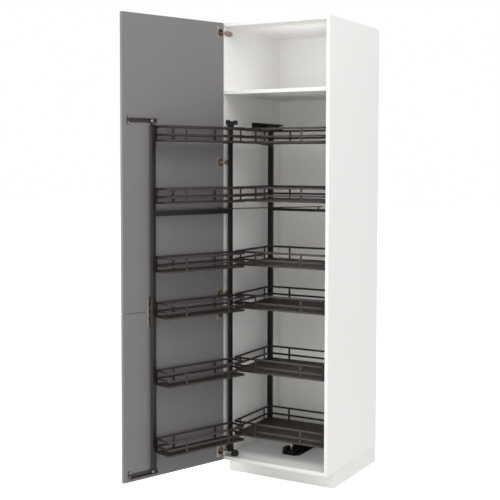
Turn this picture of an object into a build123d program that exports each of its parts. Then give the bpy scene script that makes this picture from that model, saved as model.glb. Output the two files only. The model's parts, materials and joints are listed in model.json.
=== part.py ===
"""A tall kitchen cabinet with a swing-out larder, shown with its door open.

Millimetres, +Z up. The origin is on the floor under the middle of the plinth's front board,
+X runs to the right seen from the front, and +Y runs to the back of the cabinet.
"""

import os
from math import asin, atan2, cos, hypot, radians, sin

from build123d import *

# Carcase
carcase_width = 600.0
carcase_depth = 600.0
carcase_height = 2200.0
board = 18.0
back_thickness = 8.0
back_inset = 2.0
groove_depth = 6.0
groove_clearance = 0.2
shelf_underside = 1927.0
edge_ease = 0.8

# Plinth and legs
plinth_height = 80.0
plinth_board = 18.0
plinth_setback = 84.0
plinth_side_inset = 3.0
leg_radius = 17.0
leg_foot_radius = 27.0
leg_foot_height = 8.0
leg_sides = 12
leg_inset = 70.0

# Door
door_thickness = 18.0
door_side_reveal = 1.5
door_end_reveal = 1.5
door_leaf_gap = 3.0
door_standoff = 3.5
lower_leaf_height = 797.0
door_open_angle = 110.0

# Concealed hinges
hinge_axis_from_edge = 8.8
hinge_axis_depth = 9.5
hinge_end_inset = 48.0
middle_hinge_rise = 8.0
hinge_pin_radius = 1.6
hinge_pin_clearance = 0.05
hinge_eye_wall = 1.6
hinge_eye_sides = 8
cup_radius = 17.5
cup_wall = 0.6
cup_depth = 14.0
cup_floor = 0.6
cup_from_edge = 21.5
cup_fit = 0.1
flange_thickness = 1.2
flange_width = 18.0
flange_height = 58.0
flange_from_cup = 14.0
flange_corner = 5.0
neck_thickness = 2.6
neck_height = 8.0
neck_reach = 17.0
neck_dip_angle = 7.5
neck_bend_radius = 4.0
arm_start = 8.0
arm_length = 62.0
arm_width = 8.2
arm_height = 18.0
arm_corner = 3.0
hinge_plate_thickness = 2.5
hinge_plate_width = 54.0
hinge_plate_height = 26.0
hinge_plate_corner = 4.0

# Plate that joins the two door leaves
link_plate_from_far_edge = 147.0
link_plate_width = 26.0
link_plate_height = 140.0
link_plate_thickness = 3.0
link_plate_corner = 4.0

# Rails on the door, in which the rollers run
door_rail_from_far_edge = 25.0
door_rail_length = 167.0
door_rail_height = 20.0
door_rail_depth = 14.0
door_rail_wall = 1.8
door_rail_lower_z = 100.0
door_rail_upper_z = 1773.0
rail_clip_length = 7.0
rail_clip_height = 34.0
rail_clip_depth = 7.0
rail_clip_corner = 2.0

# Pivot of the front rack
pivot_from_wall = 46.0
pivot_from_front = 36.0
pivot_pin_radius = 5.0
pivot_clearance = 0.06
pivot_eye_radius = 12.0
pivot_arm_thickness = 6.0
pivot_lower_z = 119.0
pivot_upper_z = 1776.0
pivot_running_gap = 0.3
pivot_foot_width = 30.0
pivot_foot_length = 34.0
pivot_foot_corner = 5.0
pivot_foot_chamfer = 1.5
pivot_shoe_height = 40.0
pivot_cap_height = 15.0
pivot_shoe_wall = 3.0
pivot_shoe_back_wall = 1.0
pivot_shoe_front_wall = 4.0
pivot_bracket_width = 34.0
pivot_bracket_wall = 5.0
pivot_bracket_plate = 12.0
pivot_bracket_height = 19.0
pivot_knob_radius = 8.0
pivot_knob_height = 4.0
pivot_knob_sides = 12

# Front rack, in distances from its pivot: u along the door, v away from the door
front_post_u = 20.0
front_post_v = 16.0
front_post_groove_width = 6.0
front_post_groove_depth = 2.5
inner_post_centre_u = 18.0
inner_post_centre_v = -17.0
outer_post_from_far_side = 106.0
outer_post_centre_v = -6.0
outer_post_bottom = 124.0
outer_post_top = 1761.0
front_bar_thickness = 8.0
front_bar_height = 22.0
front_bar_top = 1355.0

# Rollers at the outer post
roller_radius = 6.5
roller_height = 12.0
roller_pin_radius = 2.5
roller_clearance = 0.06
roller_running_gap = 0.4
roller_bracket_thickness = 4.0
roller_bracket_eye = 6.0

# Trays and their rails
tray_base_heights = (200.0, 528.0, 851.0, 1069.0, 1392.0, 1685.0)
tray_thickness = 9.0
tray_lip = 3.0
tray_recess = 1.5
rail_height = 75.0
rail_bar_height = 10.0
rail_bar_thickness = 4.0
rail_middle_bar_top = 37.0
rail_picket_width = 10.0
long_picket_offset = 127.0

# Front trays
front_tray_u_start = 19.0
front_tray_end_gap = 12.0
front_tray_v_start = -8.0
front_tray_depth = 110.0
gusset_drop = 38.0
gusset_reach = 28.0
gusset_below_rail_top = 2.0
gusset_thickness = 4.0
inner_bracket_reach_u = 44.0
inner_bracket_reach_v = 30.0
inner_bracket_thickness = 4.0

# Rear rack, which slides straight back as the door closes
rear_travel = 130.0
rear_tray_side_gap = 32.0
rear_back_gap = 17.0
rear_tray_front = 50.0
rear_post_width = 25.0
rear_post_depth = 20.0
rear_post_groove_width = 8.0
rear_post_groove_depth = 3.0
rear_post_bottom = 130.0
rear_post_top = 1752.0
rear_bar_height = 14.0
rear_bar_thickness = 14.0
rear_bar_top = 1345.0
rear_low_bar_height = 30.0
rear_arm_length = 150.0
rear_arm_drop = 10.0
rear_arm_thickness = 4.0

# Floor runner and the carriage in it
runner_back_gap = 13.0
runner_from_front = 177.0
runner_plate_width = 104.0
runner_plate_thickness = 3.0
runner_plate_chamfer = 22.0
runner_channel_width = 48.0
runner_channel_height = 18.0
runner_channel_wall = 2.5
runner_lip = 8.0
runner_clearance = 0.3
carriage_from_runner_front = 12.0
carriage_end_gap = 8.0
carriage_web_rake = 62.0
carriage_web_thickness = 12.0
carriage_plate_width = 120.0
carriage_plate_thickness = 4.0

# Top guide on the left wall and the slider in it
guide_back_gap = 3.0
guide_from_front = 283.0
guide_depth = 20.0
guide_height = 32.0
guide_wall = 2.0
guide_mouth = 16.0
guide_bottom = 1764.0
guide_clearance = 0.3
slider_length = 44.0
slider_corner = 3.5
slider_stem_length = 30.0
slider_stem_height = 10.0
slider_plate_thickness = 4.0

# Drive rod between the two racks
rod_lever_length = 90.0
rod_width = 8.0
rod_thickness = 4.5
rod_pin_radius = 3.0
rod_pin_clearance = 0.06
rod_eye_radius = 6.0
rod_overrun_length = 20.0
rod_running_gap = 0.3
rod_pin_head = 2.0
rod_stud_radius = 4.0

# Places that follow from the sizes above
UP = Vector(0, 0, 1)
front_y = -(plinth_setback + plinth_board / 2)
back_y = front_y + carcase_depth
carcase_top = plinth_height + carcase_height
floor_top = plinth_height + board
wall_x = carcase_width / 2 - board
back_face_y = back_y - back_inset - back_thickness
clear_depth = back_face_y - front_y
door_width = carcase_width - 2 * door_side_reveal
door_rail_start = door_width - door_rail_from_far_edge - door_rail_length
link_plate_along = door_width - link_plate_from_far_edge
lower_leaf_bottom = plinth_height + door_end_reveal
lower_leaf_top = lower_leaf_bottom + lower_leaf_height
upper_leaf_bottom = lower_leaf_top + door_leaf_gap
upper_leaf_top = carcase_top - door_end_reveal
upper_leaf_height = upper_leaf_top - upper_leaf_bottom

hinge_heights = (
    lower_leaf_bottom + hinge_end_inset,
    lower_leaf_top - hinge_end_inset,
    upper_leaf_bottom + hinge_end_inset,
    (upper_leaf_bottom + upper_leaf_top) / 2 + middle_hinge_rise,
    upper_leaf_top - hinge_end_inset,
)
hinge_x = -carcase_width / 2 + door_side_reveal + hinge_axis_from_edge
hinge_y = front_y - door_standoff - hinge_axis_depth

# Frames of the open door and of the front rack: X along the door, Y into the cabinet when shut
along_door = Vector(cos(radians(door_open_angle)), -sin(radians(door_open_angle)), 0)
turned = Plane(origin=(hinge_x, hinge_y, 0), x_dir=along_door, z_dir=UP)
door = Plane(
    origin=turned.from_local_coords((-hinge_axis_from_edge, hinge_axis_depth, 0)),
    x_dir=along_door,
    z_dir=UP,
)
pivot_x = -wall_x + pivot_from_wall
pivot_y = front_y + pivot_from_front
rack = Plane(origin=(pivot_x, pivot_y, 0), x_dir=along_door, z_dir=UP)
door_from_pivot = rack.to_local_coords(door.origin).Y

outer_post_centre_u = carcase_width - outer_post_from_far_side
front_tray_length = outer_post_centre_u - front_tray_end_gap - front_tray_u_start

rear_tray_width = 2 * (wall_x - rear_tray_side_gap)
rear_tray_depth = clear_depth - rear_tray_front - rear_travel - rear_post_depth - rear_back_gap
rear_post_from_centre = rear_tray_width / 2
rear_front_y = front_y + rear_tray_front
rear_back_y = rear_front_y + rear_tray_depth
rear_post_y = rear_back_y + rear_post_depth / 2
rear = Plane(origin=(-rear_tray_width / 2, rear_front_y, 0), x_dir=(1, 0, 0), z_dir=UP)

# With the door shut, the rack turns until its rollers are again in the door's rails
roller_from_door = door_rail_wall + roller_running_gap + roller_radius
roller_v = door_from_pivot + roller_from_door
shut_rise = roller_from_door - door_standoff - pivot_from_front
shut_turn = asin(shut_rise / hypot(outer_post_centre_u, roller_v)) - atan2(roller_v, outer_post_centre_u)
rack_shut = Plane(origin=rack.origin, x_dir=(cos(shut_turn), sin(shut_turn), 0), z_dir=UP)

# The drive rod keeps its length, so its far stud lies where the shut racks also meet it
bar_v = (inner_post_centre_v + outer_post_centre_v) / 2
lever_open = rack.from_local_coords((rod_lever_length, bar_v, 0))
lever_shut = rack_shut.from_local_coords((rod_lever_length, bar_v, 0))
far_open_y = rear_post_y
far_shut_y = rear_post_y + rear_travel
rod_far_x = (
    (far_shut_y - lever_shut.Y) ** 2
    - (far_open_y - lever_open.Y) ** 2
    + lever_shut.X**2
    - lever_open.X**2
) / (2 * (lever_shut.X - lever_open.X))
rod_far = Vector(rod_far_x, far_open_y, 0)
rod_length = (rod_far - lever_open).length

os.makedirs("parts", exist_ok=True)


def save(part, name):
    """Label a finished piece and write it under its own name"""
    part.label = name
    export_step(part, f"parts/{name}.step")


def section(frame, start, depth, height):
    """A plane across a frame's X: its own X points along the frame's Y and its own Y points up"""
    origin = frame.from_local_coords((start, depth, height))
    return Plane(origin=origin, x_dir=frame.y_dir, z_dir=frame.x_dir)


def side_panel(side):
    """One side panel, with its front edges eased and a groove for the back panel"""
    with BuildPart() as panel:
        with BuildSketch(Plane.XY.offset(plinth_height)):
            with Locations((side * (carcase_width - board) / 2, (front_y + back_y) / 2)):
                Rectangle(board, carcase_depth)
        extrude(amount=carcase_height)
        chamfer(panel.edges().filter_by(Axis.Z).group_by(Axis.Y)[0], edge_ease)
        with BuildSketch(Plane.XY.offset(plinth_height)):
            with Locations((side * (wall_x + groove_depth / 2), back_face_y + back_thickness / 2)):
                Rectangle(groove_depth, back_thickness + 2 * groove_clearance)
        extrude(amount=carcase_height, mode=Mode.SUBTRACT)
    return panel.part


save(side_panel(-1), "side_panel_left")
save(side_panel(1), "side_panel_right")


def level_panel(bottom, groove_z):
    """A panel between the sides, with a groove in one face for the back panel"""
    with BuildPart() as panel:
        with BuildSketch(Plane.XY.offset(bottom)):
            with Locations((0, (front_y + back_y) / 2)):
                Rectangle(2 * wall_x, carcase_depth)
        extrude(amount=board)
        chamfer(panel.edges().filter_by(Axis.X).group_by(Axis.Y)[0], edge_ease)
        with BuildSketch(Plane.XY.offset(groove_z)):
            with Locations((0, back_face_y + back_thickness / 2)):
                Rectangle(2 * wall_x, back_thickness + 2 * groove_clearance)
        extrude(amount=groove_depth, mode=Mode.SUBTRACT)
    return panel.part


save(level_panel(plinth_height, floor_top - groove_depth), "bottom_panel")
save(level_panel(carcase_top - board, carcase_top - board), "top_panel")

with BuildPart() as fixed_shelf:
    with BuildSketch(Plane.XY.offset(shelf_underside)):
        with Locations((0, (front_y + back_face_y) / 2)):
            Rectangle(2 * wall_x, back_face_y - front_y)
    extrude(amount=board)
    chamfer(fixed_shelf.edges().filter_by(Axis.X).group_by(Axis.Y)[0], edge_ease)
save(fixed_shelf.part, "fixed_shelf")

with BuildPart() as back_panel:
    with BuildSketch(Plane.XY.offset(floor_top - groove_depth + groove_clearance)):
        with Locations((0, back_face_y + back_thickness / 2)):
            Rectangle(2 * (wall_x + groove_depth - groove_clearance), back_thickness)
    extrude(amount=carcase_height - 2 * (board - groove_depth + groove_clearance))
save(back_panel.part, "back_panel")

# Plinth: a front board with two side boards butted against it
with BuildPart() as plinth_front:
    with BuildSketch():
        Rectangle(carcase_width - 2 * plinth_side_inset, plinth_board)
    extrude(amount=plinth_height)
    chamfer(plinth_front.edges().filter_by(Axis.Z).group_by(Axis.Y)[0], edge_ease)

plinth_side_x = carcase_width / 2 - plinth_side_inset - plinth_board / 2
with BuildPart() as plinth_sides:
    with BuildSketch():
        with Locations((-plinth_side_x, (plinth_board / 2 + back_y) / 2)):
            Rectangle(plinth_board, back_y - plinth_board / 2)
        with Locations((plinth_side_x, (plinth_board / 2 + back_y) / 2)):
            Rectangle(plinth_board, back_y - plinth_board / 2)
    extrude(amount=plinth_height)
save(Compound([*plinth_front.solids(), *plinth_sides.solids()]), "plinth")

# Legs: a faceted foot under a faceted stem, one near each corner
leg_x = carcase_width / 2 - leg_inset
leg_front_y = plinth_board / 2 + leg_inset
leg_back_y = back_y - leg_inset
with BuildPart() as cabinet_legs:
    with BuildSketch():
        RegularPolygon(leg_foot_radius, leg_sides)
    extrude(amount=leg_foot_height)
    with BuildSketch(Plane.XY.offset(leg_foot_height)):
        RegularPolygon(leg_radius, leg_sides)
    extrude(amount=plinth_height - leg_foot_height)
leg = cabinet_legs.solid()
leg_spots = [(x, y, 0) for x in (-leg_x, leg_x) for y in (leg_front_y, leg_back_y)]
save(Compound([leg.moved(Location(spot)) for spot in leg_spots]), "cabinet_legs")


def door_leaf(bottom, height, hinges):
    """One door leaf, with a blind bore for each hinge cup"""
    with BuildPart() as leaf:
        with BuildSketch(door.offset(bottom)):
            with Locations((door_width / 2, -door_thickness / 2)):
                Rectangle(door_width, door_thickness)
        extrude(amount=height)
        chamfer(leaf.edges().filter_by(Axis.Z), edge_ease)
        for z in hinges:
            bore_centre = door.from_local_coords((cup_from_edge, 0, z))
            with BuildSketch(Plane(origin=bore_centre, x_dir=door.x_dir, z_dir=-door.y_dir)):
                Circle(cup_radius + cup_fit)
            extrude(amount=cup_depth + cup_fit, mode=Mode.SUBTRACT)
    return leaf.part


save(door_leaf(lower_leaf_bottom, lower_leaf_height, hinge_heights[:2]), "door_lower")
save(door_leaf(upper_leaf_bottom, upper_leaf_height, hinge_heights[2:]), "door_upper")


def hinge_cup(z):
    """A pressed cup with its flange and the pin that the gooseneck turns on"""
    face = Plane(origin=door.from_local_coords((cup_from_edge, 0, z)), x_dir=door.x_dir, z_dir=-door.y_dir)
    with BuildPart() as hollow:
        with BuildSketch(face.offset(-flange_thickness)):
            Circle(cup_radius - cup_wall)
        extrude(amount=flange_thickness + cup_depth - cup_floor)
        with BuildSketch(turned.offset(z - cup_radius)):
            Circle(hinge_pin_radius)
        extrude(amount=2 * cup_radius, mode=Mode.SUBTRACT)
    with BuildPart() as cup:
        with BuildSketch(face.offset(-flange_thickness)):
            Circle(cup_radius)
        extrude(amount=flange_thickness + cup_depth)
        with BuildSketch(face.offset(-flange_thickness)):
            with Locations((flange_from_cup, 0)):
                flange = Rectangle(flange_width, flange_height)
            chamfer(flange.vertices(), flange_corner)
        extrude(amount=flange_thickness)
        add(hollow.part, mode=Mode.SUBTRACT)
    return cup.solid()


save(Compound([hinge_cup(z) for z in hinge_heights]), "hinge_cups")


def hinge_arm(z):
    """A gooseneck that reaches into the cup, in one piece with the arm along the wall"""
    eye_bore = hinge_pin_radius + hinge_pin_clearance
    neck_x = hinge_x + neck_reach
    neck_y = hinge_y - neck_reach * sin(radians(neck_dip_angle))
    arm_y = front_y + arm_start
    arm_x = -wall_x + hinge_plate_thickness + arm_width / 2
    with BuildPart() as arm:
        with BuildSketch(Plane.XY.offset(z - neck_height / 2)):
            with BuildLine():
                FilletPolyline(
                    (hinge_x, hinge_y),
                    (neck_x, neck_y),
                    (neck_x, arm_y + arm_corner),
                    radius=neck_bend_radius,
                )
            trace(line_width=neck_thickness)
            with Locations((hinge_x, hinge_y)):
                RegularPolygon(eye_bore + hinge_eye_wall, hinge_eye_sides)
                Circle(eye_bore, mode=Mode.SUBTRACT)
        extrude(amount=neck_height)
        with BuildSketch(Plane.XY.offset(z - arm_height / 2)):
            with Locations((arm_x, arm_y + arm_length / 2)):
                outline = Rectangle(arm_width, arm_length)
            chamfer(outline.vertices(), arm_corner)
        extrude(amount=arm_height)
    return arm.solid()


save(Compound([hinge_arm(z) for z in hinge_heights]), "hinge_arms")


def hinge_plate(z):
    """The plate under a hinge arm, screwed to the wall"""
    plate_y = front_y + arm_start + arm_length / 2
    wall = Plane(origin=(-wall_x, plate_y, z), x_dir=(0, 1, 0), z_dir=(1, 0, 0))
    with BuildPart() as plate:
        with BuildSketch(wall):
            outline = Rectangle(hinge_plate_width, hinge_plate_height)
            chamfer(outline.vertices(), hinge_plate_corner)
        extrude(amount=hinge_plate_thickness)
    return plate.solid()


save(Compound([hinge_plate(z) for z in hinge_heights]), "hinge_plates")

# Link plate, screwed across the gap between the two leaves
link_z = lower_leaf_top + door_leaf_gap / 2
link_face = Plane(
    origin=door.from_local_coords((link_plate_along, 0, link_z)),
    x_dir=-door.x_dir,
    z_dir=door.y_dir,
)
with BuildPart() as door_link_plate:
    with BuildSketch(link_face):
        outline = Rectangle(link_plate_width, link_plate_height)
        chamfer(outline.vertices(), link_plate_corner)
    extrude(amount=link_plate_thickness)
save(door_link_plate.part, "door_link_plate")


def door_rail(bottom, ledge_z, clip_z):
    """An angle rail on the door, with a ledge and a clip that closes its outer end"""
    rail_end = door_rail_start + door_rail_length
    with BuildPart() as rail:
        with BuildSketch(section(door, door_rail_start, 0, bottom)):
            with Locations((door_rail_wall / 2, door_rail_height / 2)):
                Rectangle(door_rail_wall, door_rail_height)
            with Locations((door_rail_depth / 2, ledge_z)):
                Rectangle(door_rail_depth, door_rail_wall)
        extrude(amount=door_rail_length)
        clip = section(door, rail_end - rail_clip_length, 0, bottom + clip_z)
        with BuildSketch(clip):
            with Locations((rail_clip_depth / 2, 0)):
                outline = Rectangle(rail_clip_depth, rail_clip_height)
            chamfer(outline.vertices(), rail_clip_corner)
        extrude(amount=rail_clip_length)
    return rail.part


# The lower rail is close to the cabinet floor, so its clip stands up from the rail's own bottom
save(door_rail(door_rail_lower_z, door_rail_wall / 2, rail_clip_height / 2), "door_rail_bottom")
high_ledge_z = door_rail_height - door_rail_wall / 2
save(door_rail(door_rail_upper_z, high_ledge_z, door_rail_height / 2), "door_rail_top")

# Pivot foot on the cabinet floor, with its pin
with BuildPart() as pivot_foot:
    with BuildSketch(Plane.XY.offset(floor_top)):
        with Locations((pivot_x, pivot_y)):
            outline = Rectangle(pivot_foot_width, pivot_foot_length)
        chamfer(outline.vertices(), pivot_foot_corner)
    extrude(amount=pivot_lower_z - pivot_running_gap - floor_top)
    chamfer(pivot_foot.faces().sort_by(Axis.Z)[-1].edges(), pivot_foot_chamfer)
    with BuildSketch(Plane.XY.offset(floor_top)):
        with Locations((pivot_x, pivot_y)):
            Circle(pivot_pin_radius)
    extrude(amount=pivot_lower_z + pivot_arm_thickness - floor_top)
save(pivot_foot.part, "pivot_foot")

# Pivot bracket on the left wall, with its pin and the knob that locks it
bracket_bottom = pivot_upper_z + pivot_arm_thickness + pivot_running_gap
with BuildPart() as pivot_bracket:
    with BuildSketch(Plane.XY.offset(bracket_bottom)):
        with Locations((pivot_x, pivot_y)):
            Circle(pivot_eye_radius)
        with Locations(((pivot_x - wall_x) / 2, pivot_y)):
            Rectangle(pivot_from_wall, 2 * pivot_eye_radius)
    extrude(amount=pivot_bracket_plate)
    with BuildSketch(Plane.XY.offset(bracket_bottom)):
        with Locations((-wall_x + pivot_bracket_wall / 2, pivot_y)):
            Rectangle(pivot_bracket_wall, pivot_bracket_width)
    extrude(amount=pivot_bracket_height)
    with BuildSketch(Plane.XY.offset(pivot_upper_z)):
        with Locations((pivot_x, pivot_y)):
            Circle(pivot_pin_radius)
    extrude(amount=bracket_bottom - pivot_upper_z)
    with BuildSketch(Plane.XY.offset(bracket_bottom + pivot_bracket_plate)):
        with Locations((pivot_x, pivot_y)):
            RegularPolygon(pivot_knob_radius, pivot_knob_sides)
    extrude(amount=pivot_knob_height)
save(pivot_bracket.part, "pivot_bracket")


def post_outline(width, depth, groove_width, groove_depth):
    """Section of a post: a rectangle with a groove down each of its two wide faces"""
    Rectangle(width, depth)
    with Locations((0, (depth - groove_depth) / 2), (0, (groove_depth - depth) / 2)):
        Rectangle(groove_width, groove_depth, mode=Mode.SUBTRACT)


def front_post(centre_u, centre_v, bottom, top):
    """A post of the front rack"""
    with BuildPart() as post:
        with BuildSketch(rack.offset(bottom)):
            with Locations((centre_u, centre_v)):
                post_outline(front_post_u, front_post_v, front_post_groove_width, front_post_groove_depth)
        extrude(amount=top - bottom)
    return post.part


inner_post_bottom = pivot_lower_z + pivot_arm_thickness + pivot_shoe_height
inner_post_top = pivot_upper_z - pivot_cap_height
inner_post = front_post(inner_post_centre_u, inner_post_centre_v, inner_post_bottom, inner_post_top)
save(inner_post, "front_inner_post")
outer_post = front_post(outer_post_centre_u, outer_post_centre_v, outer_post_bottom, outer_post_top)
save(outer_post, "front_outer_post")


shoe_depth = front_post_v + pivot_shoe_back_wall + pivot_shoe_front_wall
shoe_centre_v = inner_post_centre_v + (pivot_shoe_front_wall - pivot_shoe_back_wall) / 2


def pivot_arm(bottom, shoe_bottom, shoe_height):
    """A flat arm with an eye that turns on the pivot pin, and the shoe that holds the inner post's end"""
    with BuildPart() as arm:
        with BuildSketch(rack.offset(bottom)):
            Circle(pivot_eye_radius)
            with Locations((inner_post_centre_u, inner_post_centre_v)):
                Rectangle(front_post_u, front_post_v)
            make_hull()
            Circle(pivot_pin_radius + pivot_clearance, mode=Mode.SUBTRACT)
        extrude(amount=pivot_arm_thickness)
        with BuildSketch(rack.offset(shoe_bottom)):
            with Locations((inner_post_centre_u, shoe_centre_v)):
                Rectangle(front_post_u + 2 * pivot_shoe_wall, shoe_depth)
        extrude(amount=shoe_height)
    return arm.solid()


lower_arm = pivot_arm(pivot_lower_z, pivot_lower_z + pivot_arm_thickness, pivot_shoe_height)
upper_arm = pivot_arm(pivot_upper_z, inner_post_top, pivot_cap_height)
save(Compound([lower_arm, upper_arm]), "front_pivot_arms")

# Crossbar between the two front posts, with the stud that the drive rod turns on
bar_start = inner_post_centre_u + front_post_u / 2
bar_end = outer_post_centre_u - front_post_u / 2
with BuildPart() as front_crossbar:
    with BuildSketch(rack.offset(front_bar_top - front_bar_height)):
        with Locations(((bar_start + bar_end) / 2, bar_v)):
            Rectangle(bar_end - bar_start, front_bar_thickness)
    extrude(amount=front_bar_height)
    with BuildSketch(rack.offset(front_bar_top)):
        with Locations((rod_lever_length, bar_v)):
            Circle(rod_pin_radius)
    extrude(amount=rod_thickness + 2 * rod_running_gap + rod_pin_head)
save(front_crossbar.part, "front_crossbar")


def roller_bracket(plate_z, pin_z, pin_length):
    """A plate on the end of the outer post, with the pin of its roller"""
    with BuildPart() as bracket:
        with BuildSketch(rack.offset(plate_z)):
            with Locations((outer_post_centre_u, outer_post_centre_v)):
                Rectangle(front_post_u, front_post_v)
            with Locations((outer_post_centre_u, roller_v)):
                Circle(roller_bracket_eye)
            make_hull()
        extrude(amount=roller_bracket_thickness)
        with BuildSketch(rack.offset(pin_z)):
            with Locations((outer_post_centre_u, roller_v)):
                Circle(roller_pin_radius)
        extrude(amount=pin_length)
    return bracket.solid()


roller_low_z = door_rail_lower_z + door_rail_wall + (door_rail_height - door_rail_wall - roller_height) / 2
roller_high_z = door_rail_upper_z + (door_rail_height - door_rail_wall - roller_height) / 2
low_plate_z = outer_post_bottom - roller_bracket_thickness
low_bracket = roller_bracket(low_plate_z, roller_low_z, low_plate_z - roller_low_z)
high_plate_top = outer_post_top + roller_bracket_thickness
high_bracket = roller_bracket(outer_post_top, high_plate_top, roller_high_z + roller_height - high_plate_top)
save(Compound([low_bracket, high_bracket]), "roller_brackets")


def roller(bottom):
    """A nylon roller with a running bore"""
    with BuildPart() as wheel:
        with BuildSketch(rack.offset(bottom)):
            with Locations((outer_post_centre_u, roller_v)):
                Circle(roller_radius)
                Circle(roller_pin_radius + roller_clearance, mode=Mode.SUBTRACT)
        extrude(amount=roller_height)
    return wheel.part


save(roller(roller_low_z), "roller_bottom")
save(roller(roller_high_z), "roller_top")


def tray_panel(frame, start, length, depth, base):
    """The panel of a tray, with a shallow recess inside its lip"""
    inner_length = length - 2 * rail_bar_thickness
    inner_depth = depth - 2 * rail_bar_thickness
    centre = (start[0] + length / 2, start[1] + depth / 2)
    with BuildPart() as panel:
        with BuildSketch(frame.offset(base)):
            with Locations(centre):
                Rectangle(inner_length, inner_depth)
        extrude(amount=tray_thickness)
        with BuildSketch(frame.offset(base + tray_thickness)):
            with Locations(centre):
                Rectangle(inner_length - 2 * tray_lip, inner_depth - 2 * tray_lip)
        extrude(amount=-tray_recess, mode=Mode.SUBTRACT)
    return panel.part


def rail_side(frame, start, run, length, base, pickets):
    """One side of a tray's rail: a bar round the panel's edge, two bars above it and their pickets"""
    corner = frame.from_local_coords((start[0], start[1], base))
    with BuildPart() as side:
        with BuildSketch(Plane(origin=corner, x_dir=run, z_dir=run.cross(UP))):
            with Locations((length / 2, tray_thickness / 2)):
                Rectangle(length, tray_thickness)
            for bar_top in (rail_middle_bar_top, rail_height):
                with Locations((length / 2, bar_top - rail_bar_height / 2)):
                    Rectangle(length, rail_bar_height)
            for offset_from_middle in pickets:
                with Locations((length / 2 + offset_from_middle, rail_height / 2)):
                    Rectangle(rail_picket_width, rail_height)
        extrude(amount=rail_bar_thickness)
    return side.solid()


def tray_rail(frame, start, length, depth, base, end_pickets):
    """The four welded sides of a tray's rail"""
    bar = rail_bar_thickness
    inner_depth = depth - 2 * bar
    long_pickets = (-long_picket_offset, long_picket_offset)
    near = (start[0], start[1] + bar)
    far = (start[0], start[1] + depth)
    last = (start[0] + length - bar, start[1] + bar)
    return Compound(
        [
            rail_side(frame, near, frame.x_dir, length, base, long_pickets),
            rail_side(frame, far, frame.x_dir, length, base, long_pickets),
            rail_side(frame, near, frame.y_dir, inner_depth, base, end_pickets),
            rail_side(frame, last, frame.y_dir, inner_depth, base, end_pickets),
        ]
    )


front_start = (front_tray_u_start, front_tray_v_start)
rear_start = (0, 0)
rear_end_pickets = (-long_picket_offset, long_picket_offset)
front_end_pickets = (rail_bar_thickness + rail_picket_width / 2 - front_tray_depth / 2,)
for number, base in enumerate(tray_base_heights, start=1):
    save(tray_panel(rack, front_start, front_tray_length, front_tray_depth, base), f"front_tray_{number}")
    save(
        tray_rail(rack, front_start, front_tray_length, front_tray_depth, base, front_end_pickets),
        f"front_rail_{number}",
    )
    save(tray_panel(rear, rear_start, rear_tray_width, rear_tray_depth, base), f"rear_tray_{number}")
    save(
        tray_rail(rear, rear_start, rear_tray_width, rear_tray_depth, base, rear_end_pickets),
        f"rear_rail_{number}",
    )


def outer_gusset(base):
    """A triangular gusset on the outer post, behind the end of a front tray's rail"""
    gusset_top = base + rail_height - gusset_below_rail_top
    corner = rack.from_local_coords((bar_end, front_tray_v_start, gusset_top))
    with BuildPart() as gusset:
        with BuildSketch(Plane(origin=corner, x_dir=rack.x_dir, z_dir=-rack.y_dir)):
            with BuildLine():
                Polyline((0, 0), (0, -gusset_drop), (-gusset_reach, 0), close=True)
            make_face()
        extrude(amount=gusset_thickness)
    return gusset.solid()


def inner_bracket(base):
    """A flat bracket from the inner post under the other end of a front tray"""
    start_u = inner_post_centre_u - front_post_u / 2
    start_v = inner_post_centre_v + front_post_v / 2
    with BuildPart() as bracket:
        with BuildSketch(rack.offset(base - inner_bracket_thickness)):
            with BuildLine():
                Polyline(
                    (start_u, start_v),
                    (bar_start + inner_bracket_reach_u, start_v),
                    (bar_start + inner_bracket_reach_u, start_v + inner_bracket_reach_v),
                    (bar_start, start_v + inner_bracket_reach_v),
                    close=True,
                )
            make_face()
        extrude(amount=inner_bracket_thickness)
    return bracket.solid()


brackets = [outer_gusset(base) for base in tray_base_heights]
brackets += [inner_bracket(base) for base in tray_base_heights]
save(Compound(brackets), "front_tray_brackets")


def rear_post(side):
    """A post of the rear rack, behind the trays"""
    with BuildPart() as post:
        with BuildSketch(Plane.XY.offset(rear_post_bottom)):
            with Locations((side * rear_post_from_centre, rear_post_y)):
                post_outline(rear_post_width, rear_post_depth, rear_post_groove_width, rear_post_groove_depth)
        extrude(amount=rear_post_top - rear_post_bottom)
    return post.part


save(rear_post(-1), "rear_post_left")
save(rear_post(1), "rear_post_right")

# Crossbars between the rear posts, the upper one with the stud under the drive rod
rear_bar_length = 2 * rear_post_from_centre - rear_post_width
rod_bottom = front_bar_top + rod_running_gap
with BuildPart() as rear_high_bar:
    with BuildSketch(Plane.XY.offset(rear_bar_top - rear_bar_height)):
        with Locations((0, rear_post_y)):
            Rectangle(rear_bar_length, rear_bar_thickness)
    extrude(amount=rear_bar_height)
    with BuildSketch(Plane.XY.offset(rear_bar_top)):
        with Locations((rod_far.X, rod_far.Y)):
            Circle(rod_stud_radius)
    extrude(amount=rod_bottom - rod_running_gap - rear_bar_top)
with BuildPart() as rear_low_bar:
    with BuildSketch(Plane.XY.offset(rear_post_bottom)):
        with Locations((0, rear_post_y)):
            Rectangle(rear_bar_length, rear_bar_thickness)
    extrude(amount=rear_low_bar_height)
save(Compound([rear_high_bar.solid(), rear_low_bar.solid()]), "rear_crossbars")


def rear_arm(start_x, base):
    """A tapered arm on the front of a rear post, under the side of a rear tray"""
    corner = (start_x, rear_back_y, base)
    with BuildPart() as arm:
        with BuildSketch(Plane(origin=corner, x_dir=(0, -1, 0), z_dir=(1, 0, 0))):
            with BuildLine():
                Polyline((0, 0), (rear_arm_length, 0), (0, rear_arm_drop), close=True)
            make_face()
        extrude(amount=rear_arm_thickness)
    return arm.solid()


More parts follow.
